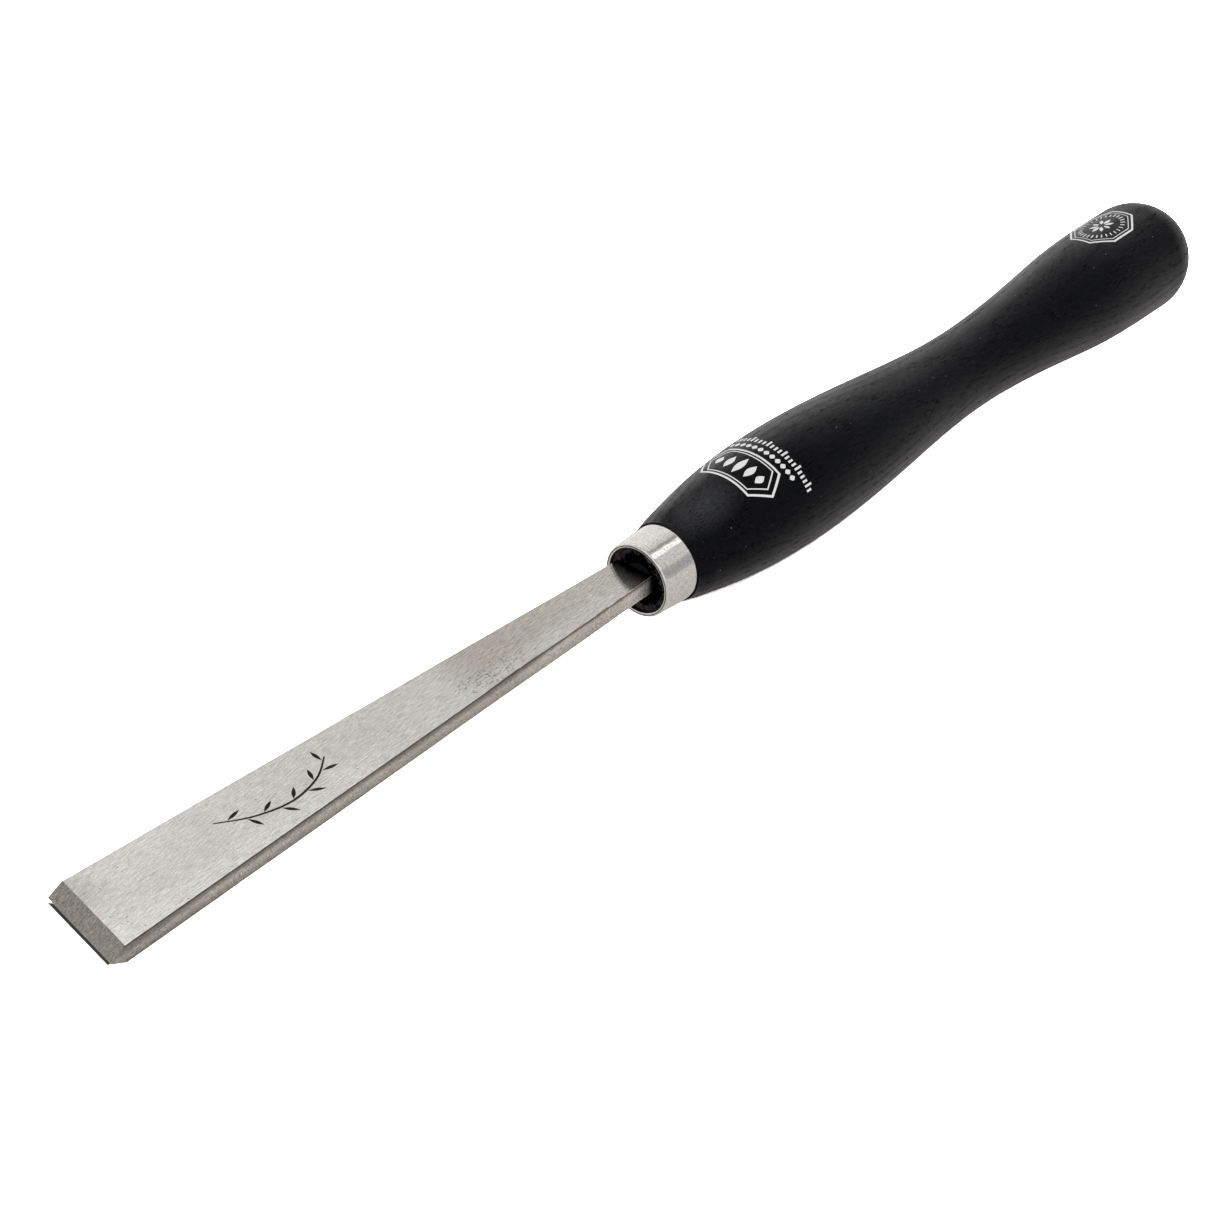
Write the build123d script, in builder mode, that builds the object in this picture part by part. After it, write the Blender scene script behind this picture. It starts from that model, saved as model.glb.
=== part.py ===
"""Woodturning flat chisel: a tapered double-bevelled blade, a ferrule and a turned handle.

Frame, in millimetres: +X runs along the tool from the cutting edge to the butt, +Z is up.
X = 0 is the plane of the ferrule's front rim, Y = 0 holds the handle's centre line, and Z = 0 is the
blade's flat underside, the face that slides on a tool rest.
"""

from build123d import *

import os
from math import radians, tan

# Blade: a flat bar that widens towards a slightly skewed cutting edge
BLADE_THICKNESS = 5.0
BLADE_REACH = 196.5  # from the ferrule's rim to the toe, the foremost corner
NECK_WIDTH = 12.3  # of the flat faces, at the ferrule's rim
TIP_WIDTH = 28.6  # of the flat faces, at the toe
NECK_SHIFT = 1.9  # how far the blade's middle lies to the +Y side of the handle's centre line
TIP_SHIFT = 3.1
EDGE_SKEW = 10.5  # degrees the cutting edge turns back from square, towards the heel
BEVEL_RUN = 4.6  # length of each bevel, along X
SIDE_SWELL = 0.35  # the sides are ground round, and stand this far outside the flat faces
SIDE_FALL = 1.2  # height over which the side falls away to each flat face

# Tang: the end of the same bar, ground narrower and thinner, inside the handle
TANG_LENGTH = 62.0
TANG_ROOT_WIDTH = 7.0
TANG_END_WIDTH = 5.0
TANG_THICKNESS = 4.0

# Ferrule: a short flared tube
FERRULE_LENGTH = 12.2
FERRULE_FRONT_RADIUS = 11.1
FERRULE_REAR_RADIUS = 11.75
FERRULE_WALL = 1.2
FRONT_RIM_ROUND = 0.4
REAR_RIM_ROUND = 0.25
MOUTH_CHAMFER = 0.3

# Handle: its centre line, its front tenon, and the stations of its turned outline as (X, radius)
AXIS_HEIGHT = 2.2  # of the centre line above the blade's underside
MOUTH_RECESS = 1.4  # the tenon's end face stands this far inside the ferrule's rim
SHOULDER = (FERRULE_LENGTH, 12.55)
SHOULDER_ROUND = 0.6
SHOULDER_SLOPE = 0.15
FRONT_FLANK = (33.3, 16.16)
BULGE = (68.8, 18.41)
BULGE_TO_WAIST = (113.2, 15.77)
WAIST = (157.5, 12.96)
WAIST_TO_KNOB = (207.7, 16.52)
KNOB = (257.9, 18.83)

# Bore for the tang, drilled from the tenon's end face
BORE_RADIUS = 4.75
BORE_DEPTH = 66.0
DRILL_HALF_ANGLE = 59.0  # degrees

HANDLE_AXIS = Axis((0, 0, AXIS_HEIGHT), (1, 0, 0))
PROFILE_PLANE = Plane(origin=(0, 0, AXIS_HEIGHT), x_dir=(1, 0, 0), z_dir=(0, -1, 0))  # X, radius


def blade_side(x, side):
    """Y of the blade's side at x, at mid-thickness: the +Y side (side = 1) or the -Y side (side = -1)."""
    share = -x / BLADE_REACH
    middle = NECK_SHIFT + (TIP_SHIFT - NECK_SHIFT) * share
    width = NECK_WIDTH + (TIP_WIDTH - NECK_WIDTH) * share
    return middle + side * (width / 2 + SIDE_SWELL)


def ferrule_bore_radius(x):
    """Inside radius of the ferrule, which the tenon fills."""
    flare = (FERRULE_REAR_RADIUS - FERRULE_FRONT_RADIUS) / FERRULE_LENGTH
    return FERRULE_FRONT_RADIUS - FERRULE_WALL + flare * x


toe = Vector(-BLADE_REACH, blade_side(-BLADE_REACH, -1))
heel_x = -BLADE_REACH + TIP_WIDTH * tan(radians(EDGE_SKEW))
heel = Vector(heel_x, blade_side(heel_x, 1))
tang_end_x = MOUTH_RECESS + TANG_LENGTH
bore_end_x = MOUTH_RECESS + BORE_DEPTH
drill_tip_x = bore_end_x + BORE_RADIUS / tan(radians(DRILL_HALF_ANGLE))

# Blade and tang, one bar
with BuildPart() as blade:
    with BuildSketch(Plane.XY):
        with BuildLine():
            Polyline(
                toe,
                (MOUTH_RECESS, blade_side(MOUTH_RECESS, -1)),
                (MOUTH_RECESS, blade_side(MOUTH_RECESS, 1)),
                heel,
                close=True,
            )
        make_face()
    extrude(amount=BLADE_THICKNESS)
    for height in (0, BLADE_THICKNESS):
        flat_face = blade.faces().filter_by(Plane.XY).filter_by_position(Axis.Z, height, height)[0]
        long_edges = flat_face.edges().sort_by(Edge.length)[-2:]
        chamfer(long_edges, length=SIDE_SWELL, length2=SIDE_FALL, reference=flat_face)
    edge_line = (heel - toe).normalized()
    edge_start = toe + Vector(0, 0, BLADE_THICKNESS / 2)
    for face_up in (1, -1):
        rise = Vector(BEVEL_RUN, 0, face_up * BLADE_THICKNESS / 2)
        outward = rise.cross(edge_line) * face_up
        split(bisect_by=Plane(origin=edge_start, x_dir=edge_line, z_dir=outward), keep=Keep.BOTTOM)
    with BuildSketch(Plane.XY.offset((BLADE_THICKNESS - TANG_THICKNESS) / 2)):
        with BuildLine():
            Polyline(
                (MOUTH_RECESS, -TANG_ROOT_WIDTH / 2),
                (tang_end_x, -TANG_END_WIDTH / 2),
                (tang_end_x, TANG_END_WIDTH / 2),
                (MOUTH_RECESS, TANG_ROOT_WIDTH / 2),
                close=True,
            )
        make_face()
    extrude(amount=TANG_THICKNESS)
blade.part.label = "blade"

# Ferrule
with BuildPart() as ferrule:
    with BuildSketch(PROFILE_PLANE):
        with BuildLine():
            Polyline(
                (0, FERRULE_FRONT_RADIUS - FERRULE_WALL),
                (0, FERRULE_FRONT_RADIUS),
                (FERRULE_LENGTH, FERRULE_REAR_RADIUS),
                (FERRULE_LENGTH, FERRULE_REAR_RADIUS - FERRULE_WALL),
                close=True,
            )
        make_face()
    revolve(axis=HANDLE_AXIS)
    rims = ferrule.edges().filter_by(GeomType.CIRCLE)
    front_rims = rims.group_by(Axis.X)[0].sort_by(SortBy.RADIUS)
    rear_rims = rims.group_by(Axis.X)[-1].sort_by(SortBy.RADIUS)
    fillet(front_rims[-1], radius=FRONT_RIM_ROUND)
    fillet(rear_rims[-1], radius=REAR_RIM_ROUND)
    chamfer(front_rims[0], length=MOUTH_CHAMFER)
ferrule.part.label = "ferrule"

# Handle, turned from one piece and bored for the tang
with BuildPart() as handle:
    with BuildSketch(PROFILE_PLANE):
        with BuildLine():
            Polyline(
                (drill_tip_x, 0),
                (bore_end_x, BORE_RADIUS),
                (MOUTH_RECESS, BORE_RADIUS),
                (MOUTH_RECESS, ferrule_bore_radius(MOUTH_RECESS)),
                (FERRULE_LENGTH, ferrule_bore_radius(FERRULE_LENGTH)),
                SHOULDER,
            )
            Spline(
                SHOULDER,
                FRONT_FLANK,
                BULGE,
                BULGE_TO_WAIST,
                WAIST,
                WAIST_TO_KNOB,
                KNOB,
                tangents=[(1, SHOULDER_SLOPE), (1, 0)],
            )
            CenterArc((KNOB[0], 0), KNOB[1], 90, -90)
            Line((KNOB[0] + KNOB[1], 0), (drill_tip_x, 0))
        make_face()
    revolve(axis=HANDLE_AXIS)
    shoulder_edges = handle.edges().filter_by(GeomType.CIRCLE).filter_by_position(
        Axis.X, FERRULE_LENGTH - 0.01, FERRULE_LENGTH + 0.01
    )
    fillet(shoulder_edges.sort_by(SortBy.RADIUS)[-1], radius=SHOULDER_ROUND)
handle.part.label = "handle"

# Cured resin: the bore's whole space, less the tang
with BuildPart() as tang_adhesive:
    with BuildSketch(PROFILE_PLANE):
        with BuildLine():
            Polyline(
                (MOUTH_RECESS, 0),
                (MOUTH_RECESS, BORE_RADIUS),
                (bore_end_x, BORE_RADIUS),
                (drill_tip_x, 0),
                close=True,
            )
        make_face()
    revolve(axis=HANDLE_AXIS)
    add(blade.part, mode=Mode.SUBTRACT)
tang_adhesive.part.label = "tang_adhesive"

os.makedirs("parts", exist_ok=True)
for piece in (blade, ferrule, handle, tang_adhesive):
    export_step(piece.part, f"parts/{piece.part.label}.step")
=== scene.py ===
"""Looks for a woodturner's flat chisel: ground steel blade, nickelled ferrule, ebonised ash handle.

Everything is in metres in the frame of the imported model: +X runs from the cutting edge to the butt,
+Z is up, X = 0 is the ferrule's front rim and Z = 0 the blade's underside. Sizes written here are in
millimetres and are turned into metres by MM; the materials work in millimetres throughout. Places are
read from the frame's own nodes.
"""

import math

import bmesh
import bpy
from mathutils import Matrix, Vector, noise


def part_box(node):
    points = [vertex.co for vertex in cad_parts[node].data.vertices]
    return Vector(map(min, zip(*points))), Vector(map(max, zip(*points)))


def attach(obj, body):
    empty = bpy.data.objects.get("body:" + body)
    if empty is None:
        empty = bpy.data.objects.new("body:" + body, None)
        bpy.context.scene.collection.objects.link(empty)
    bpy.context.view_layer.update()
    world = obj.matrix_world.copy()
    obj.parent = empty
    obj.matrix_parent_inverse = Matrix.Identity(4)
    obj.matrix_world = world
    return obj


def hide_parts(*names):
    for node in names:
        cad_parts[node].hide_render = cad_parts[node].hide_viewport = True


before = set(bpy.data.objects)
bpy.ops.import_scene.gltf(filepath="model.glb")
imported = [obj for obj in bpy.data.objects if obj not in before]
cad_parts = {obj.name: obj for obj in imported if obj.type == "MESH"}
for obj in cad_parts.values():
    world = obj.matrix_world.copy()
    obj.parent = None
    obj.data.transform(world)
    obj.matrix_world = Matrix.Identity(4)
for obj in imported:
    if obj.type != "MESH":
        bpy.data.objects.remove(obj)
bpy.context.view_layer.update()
MM = 0.001


# ---------------------------------------------------------------- sizes read from the frame

def node_points(name):
    return [vertex.co.copy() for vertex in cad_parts[name].data.vertices]


handle_low, handle_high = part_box("handle")
resin_low, resin_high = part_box("tang_adhesive")
AXIS_Z = (handle_low.z + handle_high.z) / 2
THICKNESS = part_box("blade")[1].z
MOUTH_X = resin_low.x  # the tenon's end face, inside the ferrule's rim
FERRULE_REAR_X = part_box("ferrule")[1].x
KNOB_RADIUS = (handle_high.z - handle_low.z) / 2
BUTT_X = handle_high.x
STAIN_REACH = 54 * MM  # from the ferrule's rim to the middle of the stained part of the blade
KNOB_X = BUTT_X - KNOB_RADIUS  # the butt is half a ball round this place on the axis


def radius_of(point):
    return math.hypot(point.y, point.z - AXIS_Z)


def read_outline(name, start, end, spacing):
    """(x, largest radius) of a turned node between two places, at least the spacing apart."""
    found = sorted((p.x, radius_of(p)) for p in node_points(name) if start <= p.x <= end)
    same_ring = 0.02 * MM
    outline = []
    for x, radius in found:
        if outline and x - outline[-1][0] < spacing:
            if radius > outline[-1][1] and x - outline[-1][0] < same_ring:
                outline[-1] = (outline[-1][0], radius)
            continue
        outline.append((x, radius))
    return outline


handle_outline = read_outline("handle", FERRULE_REAR_X + 0.7 * MM, KNOB_X, 2.0 * MM)
handle_outline.append((KNOB_X, KNOB_RADIUS))


def handle_radius(x):
    """Radius of the turned handle at x, by a smooth curve through the outline's points."""
    if x >= KNOB_X:
        return math.sqrt(max(KNOB_RADIUS ** 2 - (x - KNOB_X) ** 2, 0.0))
    last = len(handle_outline) - 2
    i = 0
    while i < last and handle_outline[i + 1][0] < x:
        i += 1
    before, here, there, after = (handle_outline[min(max(k, 0), last + 1)] for k in range(i - 1, i + 3))
    span = there[0] - here[0]
    slope_here = (there[1] - before[1]) / (there[0] - before[0])
    slope_there = (after[1] - here[1]) / (after[0] - here[0])
    t = (x - here[0]) / span
    return (
        here[1] * (1 + 2 * t) * (1 - t) ** 2
        + there[1] * t * t * (3 - 2 * t)
        + span * slope_here * t * (1 - t) ** 2
        + span * slope_there * t * t * (t - 1)
    )


# ---------------------------------------------------------------- mesh helpers

def add_to_scene(name, data):
    thing = bpy.data.objects.new(name, data)
    bpy.context.scene.collection.objects.link(thing)
    return thing


def finish_mesh(name, bm, materials, sharp_degrees, replaced=None):
    """Turns a bmesh into a piece of the object that rides on the one body."""
    bmesh.ops.recalc_face_normals(bm, faces=bm.faces)
    mesh = bpy.data.meshes.new(name)
    bm.to_mesh(mesh)
    bm.free()
    for material in materials:
        mesh.materials.append(material)
    mesh.shade_smooth()
    mesh.set_sharp_from_angle(angle=math.radians(sharp_degrees))
    piece = add_to_scene(name, mesh)
    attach(piece, "root")
    if replaced:
        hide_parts(replaced)
    return piece


def skin(bm, loops, closed=False):
    """Quads between neighbouring loops of vertices."""
    pairs = list(zip(loops, loops[1:]))
    if closed:
        pairs.append((loops[-1], loops[0]))
    count = len(loops[0])
    for one, two in pairs:
        for i in range(count):
            k = (i + 1) % count
            bm.faces.new((one[i], one[k], two[k], two[i]))


def lathe(bm, profile, segments):
    """Turns (x, radius) points round the handle's centre line. A zero radius closes the end."""
    rings = []
    for x, radius in profile:
        if radius < 1e-9:
            rings.append([bm.verts.new((x, 0, AXIS_Z))])
            continue
        ring = []
        for k in range(segments):
            turn = math.tau * k / segments
            ring.append(bm.verts.new((x, radius * math.cos(turn), AXIS_Z + radius * math.sin(turn))))
        rings.append(ring)
    for one, two in zip(rings, rings[1:]):
        for i in range(segments):
            k = (i + 1) % segments
            corners = [one[i % len(one)], one[k % len(one)], two[k % len(two)], two[i % len(two)]]
            bm.faces.new(list(dict.fromkeys(corners)))
    return rings


def arc(centre, radius, start, end, steps):
    """Points of an arc in the (x, radius) plane, in degrees from +X."""
    points = []
    for k in range(steps + 1):
        turn = math.radians(start + (end - start) * k / steps)
        points.append((centre[0] + radius * math.cos(turn), centre[1] + radius * math.sin(turn)))
    return points


# ---------------------------------------------------------------- material helpers

class Nodes:
    """A node tree, with short names for the nodes that this script uses."""

    def __init__(self, tree):
        self.nodes, self.links = tree.nodes, tree.links

    def add(self, kind, inputs=None, **settings):
        node = self.nodes.new(kind)
        for key, value in settings.items():
            setattr(node, key, value)
        for key, value in (inputs or {}).items():
            self.put(node.inputs[key], value)
        return node

    def put(self, socket, value):
        if isinstance(value, bpy.types.NodeSocket):
            self.links.new(value, socket)
        else:
            socket.default_value = value

    def math(self, operation, one, two=0.0, clamp=False):
        node = self.add("ShaderNodeMath", {0: one, 1: two}, operation=operation, use_clamp=clamp)
        return node.outputs[0]

    def plus(self, one, two):
        return self.math("ADD", one, two)

    def minus(self, one, two):
        return self.math("SUBTRACT", one, two)

    def times(self, one, two):
        return self.math("MULTIPLY", one, two)

    def vector(self, operation, one, two):
        outputs = self.add("ShaderNodeVectorMath", {0: one, 1: two}, operation=operation).outputs
        return outputs["Value" if operation in ("DISTANCE", "DOT_PRODUCT") else "Vector"]

    def remap(self, value, low, high, to_low=0.0, to_high=1.0, smooth=False):
        return self.add(
            "ShaderNodeMapRange",
            {"Value": value, "From Min": low, "From Max": high, "To Min": to_low, "To Max": to_high},
            interpolation_type="SMOOTHSTEP" if smooth else "LINEAR",
        ).outputs[0]

    def vary(self, value, cause, low, high, at_low, at_high, smooth=False):
        """The value, multiplied by a factor that follows the cause."""
        return self.times(value, self.remap(cause, low, high, at_low, at_high, smooth))

    def where(self, mask, value, factor):
        """The value, multiplied by the factor where the mask is 1."""
        return self.vary(value, mask, 0.0, 1.0, 1.0, factor)

    def blend(self, share, one, two):
        """Colour between one and two."""
        return self.add("ShaderNodeMix", {0: share, 6: one, 7: two}, data_type="RGBA").outputs[2]


class Recipe(Nodes):
    """A node material, with one Principled surface at its end. Its lengths are in millimetres."""

    def __init__(self, name):
        self.material = bpy.data.materials.new(name)
        self.material.use_nodes = True
        super().__init__(self.material.node_tree)
        self.surface = self.nodes["Principled BSDF"]
        self.place = self.add("ShaderNodeTexCoord").outputs["Object"]

    def set(self, **values):
        for key, value in values.items():
            self.put(self.surface.inputs[key.replace("_", " ")], value)

    def stretched(self, per_mm, turn=(0, 0, 0), shift=(0, 0, 0)):
        """Object coordinates in millimetres, turned by degrees, then scaled, along each axis or all."""
        scales = per_mm if isinstance(per_mm, tuple) else (per_mm,) * 3
        turned = self.add(
            "ShaderNodeMapping",
            {"Vector": self.place, "Rotation": [math.radians(a) for a in turn]},
        )
        return self.add(
            "ShaderNodeMapping",
            {"Vector": turned.outputs[0], "Scale": [s / MM for s in scales], "Location": shift},
        ).outputs[0]

    def axes(self):
        """X, Y and Z in millimetres."""
        return self.add("ShaderNodeSeparateXYZ", {"Vector": self.stretched(1.0)}).outputs

    def noise(self, vector, detail, roughness, distortion=0.0):
        return self.add("ShaderNodeTexNoise", {
            "Vector": vector, "Scale": 1.0, "Detail": detail, "Roughness": roughness,
            "Distortion": distortion,
        }).outputs[0]

    def spots(self, vector):
        """Distance to the nearest of a field of scattered points, and that point's own number."""
        node = self.add("ShaderNodeTexVoronoi", {"Vector": vector, "Scale": 1.0, "Randomness": 1.0})
        number = self.add("ShaderNodeSeparateColor", {"Color": node.outputs["Color"]}).outputs[0]
        return node.outputs["Distance"], number

    def bump(self, height, depth, strength, under=None):
        inputs = {"Height": height, "Distance": depth * MM, "Strength": strength}
        if under is not None:
            inputs["Normal"] = under
        return self.add("ShaderNodeBump", inputs).outputs[0]


# ---------------------------------------------------------------- steel

def ground_steel(name, bright, turn, coarse, fine, speck, contrast, grit, spread=(1.0, 1.0)):
    """Ground tool steel: parallel grinding lines, cloudy stain and fine speckle. Coarse, fine and speck
    are how fast each changes along the axes, per millimetre, and spread is how much closer together
    the lines lie at the edge and at the root. Returns the recipe and its shade so far."""
    steel = Recipe(name)
    steel.x, steel.y, steel.z = steel.axes()
    closer = steel.add(
        "ShaderNodeCombineXYZ", {0: 1.0, 1: steel.remap(steel.x, -190, -20, *spread), 2: 1.0}
    ).outputs[0]

    def grain(per_mm, shift, detail, roughness):
        vector = steel.stretched(per_mm, (0, 0, turn), shift)
        return steel.noise(steel.vector("MULTIPLY", vector, closer), detail, roughness)

    coarse_lines = grain(coarse, (0, 0, 0), 3.0, 0.6)
    fine_lines = grain(fine, (7, 3, 1), 2.0, 0.6)
    speckle = grain(speck, (0, 0, 0), 2.0, 0.8)
    blotch = steel.noise(steel.stretched(0.9, (0, 0, 0), (5, 8, 2)), 2.0, 0.6)
    steel.cloud = steel.noise(steel.stretched(0.06, (0, 0, 20)), 4.0, 0.6, 0.6)
    steel.lines = steel.plus(steel.times(coarse_lines, 0.14), steel.times(fine_lines, 0.86))
    steel.bright = bright
    shade = steel.remap(steel.lines, 0.35, 0.65, 1.0 - contrast, 1.0 + contrast)
    shade = steel.vary(shade, steel.cloud, 0.30, 0.70, 0.93, 1.06)
    shade = steel.vary(shade, speckle, 0.3, 0.7, 1.0 - grit, 1.0 + grit)
    shade = steel.vary(shade, blotch, 0.3, 0.7, 0.985, 1.015)
    steel.set(Metallic=1.0)
    return steel, shade


def roughen(steel, level):
    """Roughness varies along the grinding lines, from the level to half as much again."""
    steel.set(Roughness=steel.vary(level, steel.lines, 0.3, 0.7, 1.0, 1.5))


def pitting(steel, shade, per_mm, small, large, rest, seed):
    """Scattered dark pits. Rest is the share of the scattered places that stay without one."""
    distance, number = steel.spots(steel.stretched(per_mm, (seed, 2 * seed, 3 * seed)))
    chosen = steel.remap(steel.minus(number, rest), 0.0, 0.02)
    pit = steel.vary(chosen, distance, small, large, 1.0, 0.0)
    return pit, steel.where(pit, shade, 0.14)


def finish_steel(steel, shade, pit, warm):
    """Tints the shade, warmer by the warm share (the stain on the faces, the painted dark band on the
    sides, all of the bevels), and cuts the lines and the pits into the surface.
    """
    cool, brown = (
        (steel.bright * red, steel.bright, steel.bright * blue, 1.0)
        for red, blue in ((1.012, 0.945), (1.062, 0.9008))
    )
    tint = steel.blend(warm, cool, brown)
    relief = steel.bump(pit, -0.03, 0.8, steel.bump(steel.lines, 0.006, 0.4))
    steel.set(Base_Color=steel.vector("MULTIPLY", tint, shade), Normal=relief)
    return steel.material


def root_painted_shade(steel, shade, start, end):
    """Painted shade darkens the blade, with a ragged front, from just before the ferrule's rim to the
    tenon.
    """
    root = steel.plus(steel.x, steel.times(steel.cloud, 1.2))
    return steel.vary(shade, root, start, end, 1.0, 0.04, True)


def ground_face():
    """The flat faces: brighter beside the -Y long edge towards the tip, stained and pitted part of the
    way up, with a thin painted highlight along the -Y edge, hazy just before the ferrule and with
    painted shade at the root."""
    steel, shade = ground_steel(
        "ground_face", bright=0.62, turn=-4.0, coarse=(0.12, 2.2, 2.2), fine=(0.32, 3.6, 3.6),
        speck=(1.9, 3.6, 3.6), contrast=0.25, grit=0.30, spread=(1.25, 0.84),
    )
    x, y = steel.x, steel.y
    taper = (TIPS[-1].y - SHOULDERS[-1]) / (TIPS[-1].x - MOUTH_X)
    long_edge = steel.plus(steel.times(x, taper), (SHOULDERS[-1] - taper * MOUTH_X) / MM)
    inside = steel.minus(y, long_edge)

    roughen(steel, steel.remap(x, -22, -5, 0.10, 0.13))
    hazy = steel.vary(steel.remap(x, -22, -10), x, -8.5, -0.5, 1.0, 0.0)
    steel.set(Metallic=steel.remap(hazy, 0.0, 1.0, 1.0, 0.78))

    stain = steel.remap(x, -76, -58, 0.0, 1.0, True)
    stain = steel.vary(stain, x, -52, -8, 1.0, 0.55, True)
    stain = steel.vary(stain, inside, 2.2, 8.0, 0.22, 1.0, True)
    uneven = steel.vary(stain, steel.cloud, 0.35, 0.6, 0.75, 1.1)
    shade = steel.where(uneven, shade, 0.74)
    shade = steel.vary(shade, x, -190, -80, 1.04, 0.90)
    # Brighter beside the -Y long edge, towards the tip.
    edge_brightening = steel.vary(steel.remap(inside, 4.5, 8.0, 1.0, 0.0), x, -120, -95, 1.0, 0.3)
    shade = steel.where(edge_brightening, shade, 1.09)
    smudge_centre = (-187, 11, THICKNESS / MM)
    smudge = steel.vector("DISTANCE", steel.stretched(1.0), smudge_centre)
    smudge = steel.plus(smudge, steel.remap(steel.cloud, 0.3, 0.7, -2, 2))
    shade = steel.vary(shade, smudge, 2, 8, 0.84, 1.0, True)

    pitted_x, pitted_y, half_long, half_wide = -61, -2, 13, 5
    off_x = steel.math("DIVIDE", steel.minus(x, pitted_x), half_long)
    off_y = steel.math("DIVIDE", steel.minus(y, pitted_y), half_wide)
    off = steel.plus(steel.times(off_x, off_x), steel.times(off_y, off_y))
    cluster = steel.remap(steel.plus(off, steel.times(steel.cloud, 0.8)), 0.3, 1.6, 1.0, 0.0)
    unpitted = steel.remap(cluster, 0.0, 1.0, 0.982, 0.28)
    pit, shade = pitting(steel, shade, per_mm=1.5, small=0.20, large=0.42, rest=unpitted, seed=11)

    # Painted highlight: a thin bright strip along the -Y edge, weaker where the steel is stained.
    painted_highlight = steel.vary(steel.remap(inside, 0.25, 0.60, 1.0, 0.0), stain, 0.3, 0.8, 1.0, 0.6)
    shade = steel.where(painted_highlight, shade, 1.20)
    return finish_steel(steel, root_painted_shade(steel, shade, -0.5, 1.0), pit, stain)


def ground_side():
    """The rounded sides: ground crosswise, with a warm dark band painted under the upper face as a dark
    reflection, a thin painted shadow line under the upper corner, painted shade on the lower half and
    painted light towards the ferrule."""
    steel, shade = ground_steel(
        "ground_side", bright=0.60, turn=0.0, coarse=(1.8, 0.5, 0.5), fine=(3.2, 1.4, 1.4),
        speck=(3.4, 3.4, 3.4), contrast=0.22, grit=0.55,
    )
    roughen(steel, 0.42)
    x, z = steel.x, steel.z
    waver = steel.noise(steel.stretched((0.05, 0.0, 0.0)), 3.0, 0.5)
    ragged = steel.noise(steel.stretched((1.1, 0.0, 1.1)), 3.0, 0.6)
    # The painted dark reflection under the upper face reaches this far down, in millimetres.
    reach = steel.remap(x, -60, -46, 2.05, 1.15, True)
    reach = steel.plus(reach, steel.remap(x, -185, -165, 0.6, -0.35))
    reach = steel.plus(reach, steel.remap(x, -125, -100, 0.0, 0.35))
    reach = steel.plus(reach, steel.remap(waver, 0.35, 0.65, -0.30, 0.30))
    reach = steel.plus(reach, steel.remap(ragged, 0.3, 0.7, -0.15, 0.15))
    depth = steel.minus(THICKNESS / MM, z)
    painted_dark_reflection = steel.remap(steel.math("DIVIDE", depth, reach), 0.25, 1.30, 1.0, 0.0, True)
    # A thin painted shadow line just under the upper corner.
    corner_painted_shadow = steel.remap(depth, 0.28, 0.62, 1.0, 0.0, True)
    # Painted shade: darker towards the bottom of the side, most near the tip.
    lower = steel.vary(steel.remap(z, 0.2, 2.6, 1.0, 0.0), x, -185, -30, 0.55, 0.22)
    shade = steel.where(painted_dark_reflection, shade, 0.46)
    shade = steel.where(corner_painted_shadow, shade, 0.40)
    shade = steel.times(shade, steel.minus(1.0, lower))
    # Painted light: the side is brighter from the stained part on, and brighter still just before the
    # ferrule.
    shade = steel.vary(shade, x, -56, -46, 0.98, 1.12)
    shade = steel.vary(shade, x, -14, -5, 1.0, 1.30)
    pit, shade = pitting(steel, shade, per_mm=1.3, small=0.14, large=0.28, rest=0.88, seed=17)
    shade = root_painted_shade(steel, shade, -0.6, 1.9)
    return finish_steel(steel, shade, pit, steel.math("MAXIMUM", painted_dark_reflection, 0.55))


def ground_bevel():
    """The two ground bevels and the land between them: darker, with lines that run along the blade."""
    steel, shade = ground_steel(
        "ground_bevel", bright=0.49, turn=0.0, coarse=(0.3, 2.2, 0.3), fine=(0.7, 3.6, 0.7),
        speck=(3.4, 3.4, 3.4), contrast=0.28, grit=0.50,
    )
    roughen(steel, 0.17)
    pit, shade = pitting(steel, shade, per_mm=1.5, small=0.14, large=0.28, rest=0.86, seed=23)
    return finish_steel(steel, shade, pit, 1.0)


def worn_arris():
    """The long corners, rubbed bright and rounded by handling."""
    steel = Recipe("worn_arris")
    patches = steel.remap(steel.noise(steel.stretched(0.35), 3.0, 0.6), 0.42, 0.58)
    steel.set(
        Base_Color=steel.blend(patches, (0.80, 0.74, 0.68, 1), (0.44, 0.38, 0.33, 1)),
        Metallic=1.0,
        Roughness=0.55,
    )
    return steel.material


# ---------------------------------------------------------------- ferrule materials

def nickel_plate():
    """Thin bright plating, clouded, speckled and lightly dented."""
    plate = Recipe("nickel_plate")
    turning = plate.noise(plate.stretched((2.4, 0.25, 0.25)), 3.0, 0.6)
    cloud = plate.noise(plate.stretched(0.35), 4.0, 0.65, 0.4)
    dents = plate.noise(plate.stretched(0.16, (4, 1, 9)), 2.0, 0.5)
    speckle = plate.noise(plate.stretched(1.7), 3.0, 0.75)
    distance, number = plate.spots(plate.stretched(1.5))
    pit = plate.vary(plate.remap(number, 0.78, 0.80), distance, 0.16, 0.32, 1.0, 0.0)
    tone = plate.blend(
        plate.remap(cloud, 0.35, 0.65), (0.86, 0.83, 0.76, 1), (0.81, 0.80, 0.83, 1)
    )
    shade = plate.where(pit, plate.remap(turning, 0.3, 0.7, 0.90, 1.05), 0.62)
    shade = plate.vary(shade, speckle, 0.3, 0.7, 0.74, 1.16)
    relief = plate.bump(cloud, 0.012, 0.35, plate.bump(dents, 0.25, 0.6))
    relief = plate.bump(pit, -0.03, 0.6, plate.bump(speckle, 0.006, 0.18, relief))
    plate.set(
        Base_Color=plate.vector("MULTIPLY", tone, shade),
        Metallic=1.0,
        Roughness=plate.remap(cloud, 0.3, 0.7, 0.05, 0.13),
        Normal=relief,
    )
    return plate.material


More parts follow.
